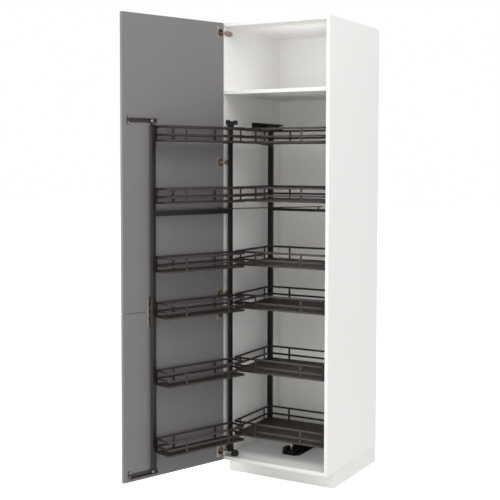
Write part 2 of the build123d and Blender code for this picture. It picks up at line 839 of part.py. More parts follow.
arm_inner_x = rear_post_from_centre - rear_post_width / 2
arm_starts = (-arm_inner_x - rear_arm_thickness, arm_inner_x)
save(Compound([rear_arm(x, base) for x in arm_starts for base in tray_base_heights]), "rear_tray_arms")

# Floor runner: a base plate with an open channel down its middle
runner_y = front_y + runner_from_front
runner_length = clear_depth - runner_from_front - runner_back_gap
with BuildPart() as floor_runner:
    with BuildSketch(Plane(origin=(0, runner_y, floor_top), x_dir=(1, 0, 0), z_dir=(0, -1, 0))):
        channel_base = runner_plate_thickness
        channel_top = channel_base + runner_channel_height
        with Locations((0, runner_plate_thickness / 2)):
            Rectangle(runner_plate_width, runner_plate_thickness)
        with Locations((0, channel_base + runner_channel_height / 2)):
            Rectangle(runner_channel_width, runner_channel_height)
        with Locations((0, channel_base + (runner_channel_height - runner_channel_wall) / 2)):
            inner_width = runner_channel_width - 2 * runner_channel_wall
            Rectangle(inner_width, runner_channel_height - runner_channel_wall, mode=Mode.SUBTRACT)
        with Locations((0, channel_top - runner_channel_wall / 2)):
            Rectangle(inner_width - 2 * runner_lip, runner_channel_wall, mode=Mode.SUBTRACT)
    extrude(amount=-runner_length)
    plate_corners = floor_runner.edges().filter_by(Axis.Z).filter_by(
        lambda edge: abs(abs(edge.center().X) - runner_plate_width / 2) < edge_ease
    )
    chamfer(plate_corners, runner_plate_chamfer)
save(floor_runner.part, "floor_runner")

# Carriage: a bar in the runner's channel, a web and a plate under the lowest rear tray
carriage_y = runner_y + carriage_from_runner_front
carriage_length = runner_length - carriage_from_runner_front - rear_travel - carriage_end_gap
bar_bottom = floor_top + runner_plate_thickness + runner_clearance
bar_top = floor_top + runner_plate_thickness + runner_channel_height - runner_channel_wall - runner_clearance
bar_width = runner_channel_width - 2 * runner_channel_wall - 2 * runner_clearance
plate_bottom = tray_base_heights[0] - carriage_plate_thickness
web_front = carriage_y + carriage_web_rake
web_back = rear_post_y - rear_bar_thickness / 2
with BuildPart() as rear_carriage:
    with BuildSketch(Plane.XY.offset(bar_bottom)):
        with Locations((0, carriage_y + carriage_length / 2)):
            Rectangle(bar_width, carriage_length)
    extrude(amount=bar_top - bar_bottom)
    with BuildSketch(Plane(origin=(-carriage_web_thickness / 2, 0, 0), x_dir=(0, 1, 0), z_dir=(1, 0, 0))):
        with BuildLine():
            Polyline(
                (web_front, bar_top),
                (web_back, bar_top),
                (web_back, plate_bottom),
                (carriage_y, plate_bottom),
                close=True,
            )
        make_face()
    extrude(amount=carriage_web_thickness)
    with BuildSketch(Plane.XY.offset(plate_bottom)):
        with Locations((0, (carriage_y + rear_back_y) / 2)):
            Rectangle(carriage_plate_width, rear_back_y - carriage_y)
    extrude(amount=carriage_plate_thickness)
save(rear_carriage.part, "rear_carriage")

# Top guide: a channel on the left wall, open towards the cabinet's middle
guide_y = front_y + guide_from_front
guide_length = clear_depth - guide_from_front - guide_back_gap
guide_z = guide_bottom + guide_height / 2
guide_section = Plane(origin=(-wall_x, guide_y, guide_z), x_dir=(1, 0, 0), z_dir=(0, -1, 0))
with BuildPart() as top_guide:
    with BuildSketch(guide_section):
        with Locations((guide_depth / 2, 0)):
            Rectangle(guide_depth, guide_height)
            Rectangle(guide_depth - 2 * guide_wall, guide_height - 2 * guide_wall, mode=Mode.SUBTRACT)
        with Locations((guide_depth - guide_wall / 2, 0)):
            Rectangle(guide_wall, guide_mouth, mode=Mode.SUBTRACT)
    extrude(amount=-guide_length)
save(top_guide.part, "top_guide")

# Slider: a block in the guide, carried by a plate on top of the left rear post
block_depth = guide_depth - 2 * guide_wall - 2 * guide_clearance
block_height = guide_height - 2 * guide_wall - 2 * guide_clearance
block_x = -wall_x + guide_wall + guide_clearance
stem_end_x = -rear_post_from_centre
with BuildPart() as top_slider:
    with BuildSketch(Plane.XY.offset(guide_z - block_height / 2)):
        with Locations((block_x + block_depth / 2, rear_post_y)):
            outline = Rectangle(block_depth, slider_length)
        chamfer(outline.vertices(), slider_corner)
    extrude(amount=block_height)
    with BuildSketch(Plane.XY.offset(guide_z - slider_stem_height / 2)):
        with Locations(((block_x + block_depth / 2 + stem_end_x) / 2, rear_post_y)):
            Rectangle(stem_end_x - block_x - block_depth / 2, slider_stem_length)
    extrude(amount=slider_stem_height)
    with BuildSketch(Plane.XY.offset(rear_post_top)):
        with Locations((stem_end_x - slider_plate_thickness / 2, rear_post_y)):
            Rectangle(slider_plate_thickness, rear_post_depth)
    extrude(amount=guide_z + slider_stem_height / 2 - rear_post_top)
save(top_slider.part, "top_slider")

# Drive rod: a flat bar with an eye on the front rack's stud, which runs past the rear stud
rod_run = Plane(origin=lever_open, x_dir=rod_far - lever_open, z_dir=UP)
with BuildPart() as drive_rod:
    with BuildSketch(rod_run.offset(rod_bottom)):
        with Locations(((rod_length + rod_overrun_length) / 2, 0)):
            Rectangle(rod_length + rod_overrun_length, rod_width)
        Circle(rod_eye_radius)
        with Locations((rod_length, 0)):
            Circle(rod_eye_radius)
        Circle(rod_pin_radius + rod_pin_clearance, mode=Mode.SUBTRACT)
    extrude(amount=rod_thickness)
save(drive_rod.part, "drive_rod")
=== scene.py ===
import json
from math import cos, radians, sin

import bmesh
import bpy
from mathutils import Euler, Matrix, Vector


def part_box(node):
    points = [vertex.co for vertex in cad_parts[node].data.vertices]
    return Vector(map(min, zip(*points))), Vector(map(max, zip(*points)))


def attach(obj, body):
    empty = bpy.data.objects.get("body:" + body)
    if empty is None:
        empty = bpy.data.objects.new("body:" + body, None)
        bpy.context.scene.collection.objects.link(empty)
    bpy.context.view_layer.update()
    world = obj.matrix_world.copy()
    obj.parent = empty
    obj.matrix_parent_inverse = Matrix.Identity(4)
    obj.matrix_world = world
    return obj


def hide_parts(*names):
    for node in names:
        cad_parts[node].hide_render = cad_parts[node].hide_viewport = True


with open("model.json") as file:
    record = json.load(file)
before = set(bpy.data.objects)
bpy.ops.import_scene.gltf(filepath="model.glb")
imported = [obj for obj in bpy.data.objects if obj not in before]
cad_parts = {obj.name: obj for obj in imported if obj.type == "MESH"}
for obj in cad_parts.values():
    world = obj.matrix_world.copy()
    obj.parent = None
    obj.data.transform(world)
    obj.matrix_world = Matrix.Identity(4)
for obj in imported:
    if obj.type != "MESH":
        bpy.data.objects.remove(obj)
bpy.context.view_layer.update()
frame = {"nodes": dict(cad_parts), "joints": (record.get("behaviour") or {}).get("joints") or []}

# Side panels: two boards of chipboard under white melamine, with a thin band glued on the front edge.
# Each is drilled on the inside with three columns of shelf-pin holes, on a 50 mm pitch.
BAND_THICKNESS = 0.0009
BAND_JOINT = 0.00025
PANEL_EDGE_ROUND = 0.0008
HOLE_RADIUS = 0.0025
HOLE_SIDES = 14
HOLE_DEPTH = 0.009
HOLE_PITCH = 0.050
HOLE_ROWS = 43
HOLE_FIRST_HEIGHT = 0.140
HOLE_COLUMNS = 3
HOLE_COLUMN_FROM_FRONT = 0.050
HOLE_COLUMN_STEP = 0.2355
HOLE_EDGE_ROUND = 0.0002
SMOOTH_ANGLE = 35.0
PARALLEL = 0.99
UP = Vector((0, 0, 1))


def colour(red, green, blue):
    """A screen colour, 0 to 255, as the linear colour that a shader takes"""
    parts = [channel / 255 for channel in (red, green, blue)]
    linear = [part / 12.92 if part <= 0.04045 else ((part + 0.055) / 1.055) ** 2.4 for part in parts]
    return (*linear, 1.0)


class Shade:
    """A socket in a material's node tree; arithmetic on it adds Math nodes"""

    def __init__(self, tree, socket=None):
        self.tree = tree
        self.socket = socket

    def node(self, kind, settings=None, sockets=None, output=0):
        """Add any node: its settings are set first, then the values or links of its sockets"""
        made = self.tree.nodes.new("ShaderNode" + kind)
        for key, value in (settings or {}).items():
            setattr(made, key, value)
        for key, value in (sockets or {}).items():
            if isinstance(value, Shade):
                self.tree.links.new(value.socket, made.inputs[key])
            else:
                made.inputs[key].default_value = value
        return Shade(self.tree, made.outputs[output])

    def math(self, operation, first, second):
        return self.node("Math", {"operation": operation}, {0: first, 1: second})

    def __add__(self, other):
        return self.math("ADD", self, other)

    def __radd__(self, other):
        return self.math("ADD", other, self)

    def __sub__(self, other):
        return self.math("SUBTRACT", self, other)

    def __rsub__(self, other):
        return self.math("SUBTRACT", other, self)

    def __mul__(self, other):
        return self.math("MULTIPLY", self, other)

    def __rmul__(self, other):
        return self.math("MULTIPLY", other, self)

    def __lt__(self, other):
        return self.math("LESS_THAN", self, other)

    def __gt__(self, other):
        return self.math("GREATER_THAN", self, other)

    def tint(self, first, second):
        """A colour between two, chosen by this value from 0 to 1"""
        return self.node("Mix", {"data_type": "RGBA"}, {0: self, 6: first, 7: second}, output=2)

    def noise(self, grains, detail=2.0):
        """Noise at this place, about 0 to 1, with so many grains to the metre"""
        return self.node("TexNoise", {}, {"Vector": self, "Scale": grains, "Detail": detail})

    def axis(self, name):
        return self.node("SeparateXYZ", {}, {0: self}, output=name)

    def reach(self, direction):
        """How far this place lies along a direction"""
        return self.node("VectorMath", {"operation": "DOT_PRODUCT"}, {0: self, 1: direction}, output="Value")

    def stretched(self, x, y, z):
        """This place with its axes scaled, for a grain that runs one way"""
        return self.node("Mapping", {}, {"Vector": self, "Scale": (x, y, z)})


def start_material(name):
    """A new material, and the place on the piece that its pattern reads"""
    material = bpy.data.materials.new(name)
    material.use_nodes = True
    return material, Shade(material.node_tree).node("TexCoord", output="Object")


def end_material(material, height, bump, edge_round, sockets):
    """Connect the shader: a bump from a height, over edges that are rounded a little"""
    shader = material.node_tree.nodes["Principled BSDF"]
    rounded = height.node("Bevel", {"samples": 4}, {"Radius": edge_round})
    relief = {"Strength": 1.0, "Distance": bump, "Height": height, "Normal": rounded}
    sockets["Normal"] = height.node("Bump", {}, relief)
    for key, value in sockets.items():
        if isinstance(value, Shade):
            material.node_tree.links.new(value.socket, shader.inputs[key])
        else:
            shader.inputs[key].default_value = value
    return material


def melamine(name, pale, shaded, band_y):
    """White melamine: a faint cloudiness, a fine pearl grain and the joint of the front edge band"""
    material, place = start_material(name)
    cloud = place.noise(grains=5.0, detail=3.0)
    pearl = place.noise(grains=1400.0)
    depth = place.axis("Y")
    joint = (depth > band_y) * (depth < band_y + BAND_JOINT)
    tone = cloud * 0.7 + pearl * 0.3
    return end_material(
        material,
        height=pearl - joint,
        bump=0.00002,
        edge_round=PANEL_EDGE_ROUND,
        sockets={
            "Base Color": joint.tint(tone.tint(shaded, pale), colour(196, 193, 187)),
            "Roughness": 0.40 + cloud * 0.10,
            "Specular IOR Level": 0.45,
        },
    )


def raw_chipboard():
    """Bare chipboard, as it shows inside a drilled hole: pressed flakes in mixed browns"""
    material, place = start_material("raw_chipboard")
    flakes = place.node("TexVoronoi", {}, {"Vector": place, "Scale": 900.0}, output="Distance")
    return end_material(
        material,
        height=flakes,
        bump=0.0001,
        edge_round=HOLE_EDGE_ROUND,
        sockets={
            "Base Color": flakes.tint(colour(150, 141, 130), colour(184, 176, 166)),
            "Roughness": 0.85 + flakes * 0.1,
        },
    )


def deselect_all():
    """Leave edit mode and deselect everything, so that an operator acts only on what comes next"""
    if bpy.context.mode != "OBJECT":
        bpy.ops.object.mode_set(mode="OBJECT")
    bpy.ops.object.select_all(action="DESELECT")


def make_active(piece):
    deselect_all()
    piece.select_set(True)
    bpy.context.view_layer.objects.active = piece


def put_place_in_mesh():
    bpy.ops.object.transform_apply(location=True, rotation=True, scale=True)


def block(name, low, high):
    """A box between two corners, with its place in its mesh"""
    deselect_all()
    low, high = Vector(low), Vector(high)
    bpy.ops.mesh.primitive_cube_add(size=1, location=(low + high) / 2, scale=high - low)
    piece = bpy.context.object
    piece.name = name
    put_place_in_mesh()
    return piece


def round_blank(name, sides, radius, length, centre, **options):
    """A round bar that stands on end, unless it is turned, with its place in its mesh"""
    deselect_all()
    bpy.ops.mesh.primitive_cylinder_add(
        vertices=sides, radius=radius, depth=length, location=centre, **options
    )
    piece = bpy.context.object
    piece.name = name
    put_place_in_mesh()
    return piece


def choose(piece, kind, wanted):
    """Enter edit mode and select the edges or faces that pass a test"""
    make_active(piece)
    bpy.ops.object.mode_set(mode="EDIT")
    bpy.ops.mesh.select_mode(type=kind)
    bpy.ops.mesh.select_all(action="DESELECT")
    mesh = bmesh.from_edit_mesh(piece.data)
    for item in mesh.edges if kind == "EDGE" else mesh.faces:
        item.select_set(wanted(item))
    bmesh.update_edit_mesh(piece.data)


def runs_along(edge, direction):
    run = (edge.verts[1].co - edge.verts[0].co).normalized()
    return abs(run.dot(direction)) > PARALLEL


def add_modifier(piece, kind, **settings):
    """Add a modifier and apply it at once"""
    make_active(piece)
    modifier = piece.modifiers.new(kind.lower(), kind)
    for key, value in settings.items():
        setattr(modifier, key, value)
    bpy.ops.object.modifier_apply(modifier=modifier.name)


def cut_away(piece, cutter):
    """Cut the shape of a cutter out of a piece, and remove the cutter"""
    add_modifier(piece, "BOOLEAN", object=cutter, operation="DIFFERENCE", solver="EXACT")
    bpy.data.objects.remove(cutter)


def smooth(piece):
    make_active(piece)
    bpy.ops.object.shade_smooth_by_angle(angle=radians(SMOOTH_ANGLE))


def dress(material, *nodes):
    """Give CAD nodes a finish in place of their plain one"""
    for node in nodes:
        mesh = frame["nodes"][node].data
        mesh.materials.clear()
        mesh.materials.append(material)


def seat(piece, material, body):
    """Give a finished piece its material and the body it rides on"""
    piece.data.materials.clear()
    piece.data.materials.append(material)
    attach(piece, body)


FRONT_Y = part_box("side_panel_left")[0].y
PALE_WHITE = colour(249, 248, 246)
SOFT_WHITE = colour(245, 244, 241)
white_board = melamine("white_board", PALE_WHITE, SOFT_WHITE, FRONT_Y + BAND_THICKNESS)
bare_board = raw_chipboard()


def on_front_corner(edge):
    return runs_along(edge, UP) and edge.verts[0].co.y < FRONT_Y + HOLE_RADIUS


def in_a_hole(face, low, high, inner_x, inside):
    """Whether a face is the wall or the floor of a drilled hole, and not one of the panel's own faces"""
    spot = face.calc_center_median()
    within_depth = low.y + HOLE_RADIUS < spot.y < high.y - HOLE_RADIUS
    within_height = low.z + HOLE_RADIUS < spot.z < high.z - HOLE_RADIUS
    below_face = inside * (inner_x - spot.x)
    return within_depth and within_height and HOLE_EDGE_ROUND < below_face < HOLE_DEPTH + HOLE_EDGE_ROUND


def drilled_side(node, inside, piece_name):
    """A side panel with eased front edges and its shelf-pin holes drilled from the inside face"""
    low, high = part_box(node)
    panel = block(piece_name, low, high)
    choose(panel, "EDGE", on_front_corner)
    bpy.ops.mesh.bevel(offset=PANEL_EDGE_ROUND, segments=3)
    inner_x = high.x if inside > 0 else low.x
    first_hole = (inner_x, FRONT_Y + HOLE_COLUMN_FROM_FRONT, HOLE_FIRST_HEIGHT)
    drill = round_blank(
        "drill", HOLE_SIDES, HOLE_RADIUS, 2 * HOLE_DEPTH, first_hole, rotation=(0, radians(90), 0)
    )
    for count, step in ((HOLE_ROWS, (0, 0, HOLE_PITCH)), (HOLE_COLUMNS, (0, HOLE_COLUMN_STEP, 0))):
        add_modifier(
            drill,
            "ARRAY",
            count=count,
            use_relative_offset=False,
            use_constant_offset=True,
            constant_offset_displace=step,
        )
    cut_away(panel, drill)
    seat(panel, white_board, "cabinet")
    panel.data.materials.append(bare_board)
    choose(panel, "FACE", lambda face: in_a_hole(face, low, high, inner_x, inside))
    panel.active_material_index = 1
    bpy.ops.object.material_slot_assign()
    deselect_all()
    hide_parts(node)


drilled_side("side_panel_left", 1, "drilled_side_left")
drilled_side("side_panel_right", -1, "drilled_side_right")

# Level boards and back: the top, bottom and fixed shelf are the same melamine board, doweled between
# the sides. The back is a thin white fibreboard that slides in a groove round the carcase.
dress(white_board, "top_panel", "bottom_panel", "fixed_shelf")


def painted_fibreboard():
    """Thin fibreboard with a white print: soft, slightly uneven and more matt than the melamine"""
    material, place = start_material("painted_fibreboard")
    cloud = place.noise(grains=9.0, detail=4.0)
    fibre = place.stretched(1.0, 1.0, 0.25).noise(grains=700.0, detail=3.0)
    tone = cloud * 0.5 + fibre * 0.5
    return end_material(
        material,
        height=fibre,
        bump=0.00003,
        edge_round=PANEL_EDGE_ROUND,
        sockets={
            "Base Color": tone.tint(colour(243, 242, 239), colour(248, 247, 244)),
            "Roughness": 0.52 + fibre * 0.12,
        },
    )


dress(painted_fibreboard(), "back_panel")

# Plinth and legs: the plinth is white foil-wrapped boards, one across the front and one down each side,
# clipped to the legs. The legs are black moulded plastic, a faceted foot and stem under the bottom board.
NO_BAND_Y = FRONT_Y - 1.0
PLASTIC_EDGE_ROUND = 0.0008
dress(melamine("plinth_foil", colour(246, 245, 242), colour(241, 240, 236), NO_BAND_Y), "plinth")


def moulded_black():
    """Moulded black plastic: a fine spark-eroded grain and slightly paler rubbed patches"""
    material, place = start_material("black_plastic")
    grain = place.noise(grains=1800.0)
    rubbed = place.noise(grains=45.0, detail=4.0)
    return end_material(
        material,
        height=grain,
        bump=0.00006,
        edge_round=PLASTIC_EDGE_ROUND,
        sockets={
            "Base Color": rubbed.tint(colour(20, 20, 20), colour(34, 33, 32)),
            "Roughness": 0.42 + grain * 0.15,
            "Specular IOR Level": 0.3,
        },
    )


black_plastic = moulded_black()
dress(black_plastic, "cabinet_legs")

# Door: two leaves of fibreboard in matt grey foil, hung one above the other on the same hinges.
# The foil is wrapped round the long edges, so there is no band joint.
FOIL_ROUND = 0.0012


def grey_foil():
    """Matt grey foil: even, with a very fine emboss and a faint cloud of sheen"""
    material, place = start_material("grey_foil")
    cloud = place.noise(grains=3.5, detail=3.0)
    emboss = place.noise(grains=1600.0)
    tone = cloud * 0.75 + emboss * 0.25
    return end_material(
        material,
        height=emboss,
        bump=0.00004,
        edge_round=FOIL_ROUND,
        sockets={
            "Base Color": tone.tint(colour(118, 115, 116), colour(126, 123, 124)),
            "Roughness": 0.46 + cloud * 0.12,
            "Specular IOR Level": 0.4,
        },
    )


dress(grey_foil(), "door_upper", "door_lower")

# Hinges: five concealed hinges of nickel-plated pressed steel. Each has a cup let into the door, a
# gooseneck and arm on a plate on the wall, and cross-head screws that hold the cup and the plate.
PLATE_EDGE_ROUND = 0.0005
NICKEL_ROUGHNESS = 0.26
CUP_LIP = 0.0002
SCREW_SIDES = 20
SCREW_RADIUS = 0.0042
SCREW_HEIGHT = 0.0018
SCREW_DOME_SHARE = 0.5
SCREW_SLOT_WIDTH = 0.0011
SCREW_SLOT_REACH = 0.6
SCREW_SLOT_FLOOR = 0.4
SCREW_SLOT_TURNS = (45, 135)
CUP_SCREW_OFFSET = 0.0225
CUP_SCREW_SHARE = 0.778
ARM_SCREWS_FROM_BACK = (0.014, 0.034)
FACING = 0.9
SAME_POINT = 1e-6
ACROSS = Vector((1, 0, 0))
joints = {joint["name"]: joint for joint in frame["joints"]}
DOOR_TURN = -radians(joints["door_hinge"]["range_deg"][1])
ALONG_DOOR = Vector((cos(DOOR_TURN), sin(DOOR_TURN), 0))
INTO_CABINET = Vector((-sin(DOOR_TURN), cos(DOOR_TURN), 0))


def plated(name, pale, deep, rough, below=None, painted_shade=None):
    """Plated steel: a drawn grain, a slight tarnish in patches, and painted shade where it lies below a face
    """
    material, place = start_material(name)
    drawn = place.stretched(1.0, 1.0, 0.06).noise(grains=900.0, detail=3.0)
    tarnish = place.noise(grains=60.0, detail=4.0)
    paint = tarnish.tint(pale, deep)
    # Painted shade: faces deeper along INTO_CABINET than a level, as in a cup or pressed recess, take a
    # darker colour
    if below is not None:
        paint = (place.reach(INTO_CABINET) < below).tint(paint, painted_shade)
    return end_material(
        material,
        height=drawn,
        bump=0.00002,
        edge_round=PLATE_EDGE_ROUND,
        sockets={
            "Base Color": paint,
            "Metallic": 1.0,
            "Roughness": rough + tarnish * 0.14 + drawn * 0.06,
        },
    )


DOOR_FACE = max(vert.co.dot(INTO_CABINET) for vert in frame["nodes"]["door_upper"].data.vertices)
PALE_NICKEL = colour(200, 188, 178)
DULL_NICKEL = colour(134, 120, 110)
CUP_PAINTED_SHADE = colour(132, 112, 99)
nickel = plated("nickel", PALE_NICKEL, DULL_NICKEL, NICKEL_ROUGHNESS)
dress(nickel, "hinge_plates", "hinge_arms")
# The inside of each hinge cup is painted darker, as shade in its hollow
nickel_cup = plated(
    "nickel_cup", PALE_NICKEL, DULL_NICKEL, NICKEL_ROUGHNESS, below=DOOR_FACE - CUP_LIP, painted_shade=CUP_PAINTED_SHADE
)
dress(nickel_cup, "hinge_cups")


def screw_head():
    """One pan-head screw that points up, with a bevelled rim and a cross recess"""
    head = round_blank("screw", SCREW_SIDES, SCREW_RADIUS, SCREW_HEIGHT, (0, 0, SCREW_HEIGHT / 2))
    choose(head, "FACE", lambda face: face.normal.z > FACING)
    bpy.ops.mesh.bevel(offset=SCREW_HEIGHT * SCREW_DOME_SHARE, segments=3)
    reach = SCREW_RADIUS * SCREW_SLOT_REACH
    floor_height = SCREW_HEIGHT * SCREW_SLOT_FLOOR
    for turn in SCREW_SLOT_TURNS:
        slot = block(
            "slot",
            (-reach, -SCREW_SLOT_WIDTH / 2, floor_height),
            (reach, SCREW_SLOT_WIDTH / 2, SCREW_HEIGHT * 2),
        )
        slot.rotation_euler.z = radians(turn)
        put_place_in_mesh()
        cut_away(head, slot)
    return head


screw_pattern = screw_head()


def copy_of(pattern, name):
    """A copy of a piece, with a mesh of its own"""
    piece = pattern.copy()
    piece.data = pattern.data.copy()
    piece.name = name
    bpy.context.collection.objects.link(piece)
    return piece


def join(parts, name):
    """Join parts into one piece, with its place in its mesh"""
    make_active(parts[0])
    for part in parts:
        part.select_set(True)
    bpy.ops.object.join()
    piece = bpy.context.object
    piece.name = name
    put_place_in_mesh()
    return piece


def set_screws(name, places, body):
    """Copies of a screw head, each on its own spot and facing outwards, joined into one piece"""
    heads = []
    for spot, outward in places:
        head = copy_of(screw_pattern, name)
        head.rotation_euler = outward.to_track_quat("Z", "Y").to_euler()
        head.location = spot
        heads.append(head)
    screws = join(heads, name)
    smooth(screws)
    seat(screws, nickel, body)


def box_round(points):
    """The lowest and highest corners of the box round some points"""
    low = Vector([min(point[axis] for point in points) for axis in range(3)])
    high = Vector([max(point[axis] for point in points) for axis in range(3)])
    return low, high


def solids_of(node):
    """The boxes of the separate solids of a node, lowest first"""
    mesh = bmesh.new()
    mesh.from_mesh(frame["nodes"][node].data)
    bmesh.ops.remove_doubles(mesh, verts=mesh.verts, dist=SAME_POINT)
    boxes = []
    unseen = set(mesh.verts)
    while unseen:
        group = [unseen.pop()]
        for vert in group:
            for edge in vert.link_edges:
                other = edge.other_vert(vert)
                if other in unseen:
                    unseen.remove(other)
                    group.append(other)
        boxes.append(box_round([vert.co.copy() for vert in group]))
    mesh.free()
    return sorted(boxes, key=lambda box: (box[0] + box[1]).z)


def along_door(node, share, height, lift):
    """A point over a door fitting: so far along it, at a height, and lifted off its inner face"""
    corners = [vert.co for vert in frame["nodes"][node].data.vertices]
    runs = [corner.dot(ALONG_DOOR) for corner in corners]
    rises = [corner.dot(INTO_CABINET) for corner in corners]
    run = min(runs) + share * (max(runs) - min(runs))
    return ALONG_DOOR * run + INTO_CABINET * (max(rises) + lift) + UP * height


arm_screws = []
for low, high in solids_of("hinge_arms"):
    for from_back in ARM_SCREWS_FROM_BACK:
        arm_screws.append(((high.x, high.y - from_back, (low.z + high.z) / 2), ACROSS))
set_screws("hinge_screws", arm_screws, "cabinet")
cup_screws = []
for low, high in solids_of("hinge_cups"):
    for offset in (-CUP_SCREW_OFFSET, CUP_SCREW_OFFSET):
        spot = along_door("hinge_cups", CUP_SCREW_SHARE, (low.z + high.z) / 2 + offset, 0)
        cup_screws.append((spot, INTO_CABINET))
set_screws("cup_screws", cup_screws, "door")

# Link plate: a pressed nickel plate that ties the two leaves together, screwed across their seam.
# A long recess is pressed down its middle, which holds the four screws.
LINK_BORDER = 0.0105
LINK_RECESS = 0.0018
LINK_EDGE_ROUND = 0.0007
LINK_SCREWS = 4
LINK_PITCH = 0.036
LINK_SCREW_SHARE = 0.5
LINK_PAINTED_SHADE = colour(62, 42, 34)
SHARP_ANGLE = 40.0
NO_PIVOT = Vector((0, 0, 0))


def turned_box(node, turn, pivot):
    """The corners of a node's box in axes turned about the vertical through a pivot"""
    back = Matrix.Rotation(-turn, 3, "Z")
    return box_round([back @ (vert.co - pivot) for vert in frame["nodes"][node].data.vertices])


def turn_into_place(piece, turn, pivot):
    """Turn a piece that was made along the axes to the open door's angle"""
    make_active(piece)
    piece.rotation_euler = Euler((0, 0, turn))
    piece.location = pivot
    put_place_in_mesh()


def round_edges(piece, width, segments):
    """Round every sharp edge of a piece"""
    add_modifier(
        piece,
        "BEVEL",
        width=width,
        segments=segments,
        limit_method="ANGLE",
        angle_limit=radians(SHARP_ANGLE),
    )


link_low, link_high = turned_box("door_link_plate", DOOR_TURN, NO_PIVOT)
link_plate = block("pressed_link_plate", link_low, link_high)
choose(link_plate, "FACE", lambda face: face.normal.y > FACING)
bpy.ops.mesh.inset(thickness=LINK_BORDER)
bpy.ops.mesh.extrude_region_move(TRANSFORM_OT_translate={"value": (0, -LINK_RECESS, 0)})
round_edges(link_plate, LINK_EDGE_ROUND, segments=3)
turn_into_place(link_plate, DOOR_TURN, NO_PIVOT)
smooth(link_plate)
# The plate's recess, sides and back are painted darker, as shade, while its raised border keeps the pale
# nickel
nickel_link = plated(
    "nickel_link",
    PALE_NICKEL,
    DULL_NICKEL,
    NICKEL_ROUGHNESS,
    below=link_high.y - LINK_RECESS / 2,
    painted_shade=LINK_PAINTED_SHADE,
)
seat(link_plate, nickel_link, "door")
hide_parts("door_link_plate")
link_middle = (link_low.z + link_high.z) / 2
link_screws = []
for number in range(LINK_SCREWS):
    height = link_middle + (number - (LINK_SCREWS - 1) / 2) * LINK_PITCH
    spot = along_door("door_link_plate", LINK_SCREW_SHARE, height, -LINK_RECESS)
    link_screws.append((spot, INTO_CABINET))
set_screws("link_screws", link_screws, "door")

# Door rails and rollers: two angle rails in dark powder-coated steel, each closed by a clip with two
# screws, and a turned roller of pale nylon that runs in each.
COAT_EDGE_ROUND = 0.0007
NYLON_EDGE_ROUND = 0.0006
ROLLER_SIDES = 48
ROLLER_BORE = 0.0026
ROLLER_BEVEL = 0.0012
CLIP_SCREW_OFFSET = 0.011
CLIP_SCREW_SHARE = 0.979
CLIP_BELOW_RAIL = 0.007


def powder_coat(name, dark, pale, rough, gloss):
    """Powder-coated steel: a fine orange peel, a faint speckle and a softer sheen on worn faces"""
    material, place = start_material(name)
    peel = place.noise(grains=650.0)
    speckle = place.noise(grains=2600.0, detail=1.0)
    worn = place.noise(grains=22.0, detail=3.0)
    tone = worn * 0.6 + speckle * 0.4
    return end_material(
        material,
        height=peel,
        bump=0.00005,
        edge_round=COAT_EDGE_ROUND,
        sockets={
            "Base Color": tone.tint(dark, pale),
            "Roughness": rough + worn * 0.12,
            "Specular IOR Level": gloss,
        },
    )


anthracite = powder_coat("anthracite", colour(33, 26, 24), colour(44, 36, 33), rough=0.38, gloss=0.55)
dress(anthracite, "door_rail_top", "door_rail_bottom")


def pale_nylon():
    """Pale nylon: waxy, slightly uneven, with a fine turned grain"""
    material, place = start_material("pale_nylon")
    grain = place.noise(grains=900.0)
    return end_material(
        material,
        height=grain,
        bump=0.00003,
        edge_round=NYLON_EDGE_ROUND,
        sockets={
            "Base Color": grain.tint(colour(150, 147, 141), colour(166, 163, 157)),
            "Roughness": 0.35 + grain * 0.1,
            "Subsurface Weight": 0.1,
        },
    )


nylon = pale_nylon()


def moved_copy(pattern, name, shift):
    """A copy of a piece that stands elsewhere, with its place in its mesh"""
    piece = copy_of(pattern, name)
    piece.location = shift
    make_active(piece)
    put_place_in_mesh()
    return piece


roller_low, roller_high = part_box("roller_top")
roller_radius = (roller_high.x - roller_low.x) / 2
roller_pattern = round_blank(
    "roller",
    ROLLER_SIDES,
    roller_radius,
    roller_high.z - roller_low.z,
    (roller_low + roller_high) / 2,
    end_fill_type="NOTHING",
)
add_modifier(roller_pattern, "SOLIDIFY", thickness=roller_radius - ROLLER_BORE, offset=-1.0)
round_edges(roller_pattern, ROLLER_BEVEL, segments=3)
smooth(roller_pattern)
for node, body, piece_name in (
    ("roller_top", "upper_roller", "nylon_roller_top"),
    ("roller_bottom", "lower_roller", "nylon_roller_bottom"),
):
    roller = moved_copy(roller_pattern, piece_name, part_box(node)[0] - roller_low)
    seat(roller, nylon, body)
    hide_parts(node)
bpy.data.objects.remove(roller_pattern)
clip_screws = []
for rail in ("door_rail_top", "door_rail_bottom"):
    low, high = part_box(rail)
    for offset in (-CLIP_SCREW_OFFSET, CLIP_SCREW_OFFSET):
        spot = along_door(rail, CLIP_SCREW_SHARE, (low.z + high.z) / 2 + offset, -CLIP_BELOW_RAIL)
        clip_screws.append((spot, INTO_CABINET))
set_screws("clip_screws", clip_screws, "door")

# Rack posts and front rack: four slotted aluminium posts, anodised black, two to each rack. The front
# rack also has a bronze cover strip on its outer post, whose paler tone is partly painted light on that
# front-facing side, and a crossbar, pivot arms, roller brackets and tray brackets of steel in black
# powder coat. It turns in a moulded foot and bracket.
POST_SHEEN_ROUND = 0.0007
POST_EDGE_ROUND = 0.0006
SLOT_WIDTH = 0.006
SLOT_DEPTH = 0.0025
SLOT_UNDERCUT = 0.010
SLOT_LIP = 0.0012
COVER_THICKNESS = 0.0014
COVER_SIDE_GAP = 0.0012
COVER_END_GAP = 0.004
PIVOT = Vector(joints["rack_swing"]["pos_m"])
PIVOT.z = 0


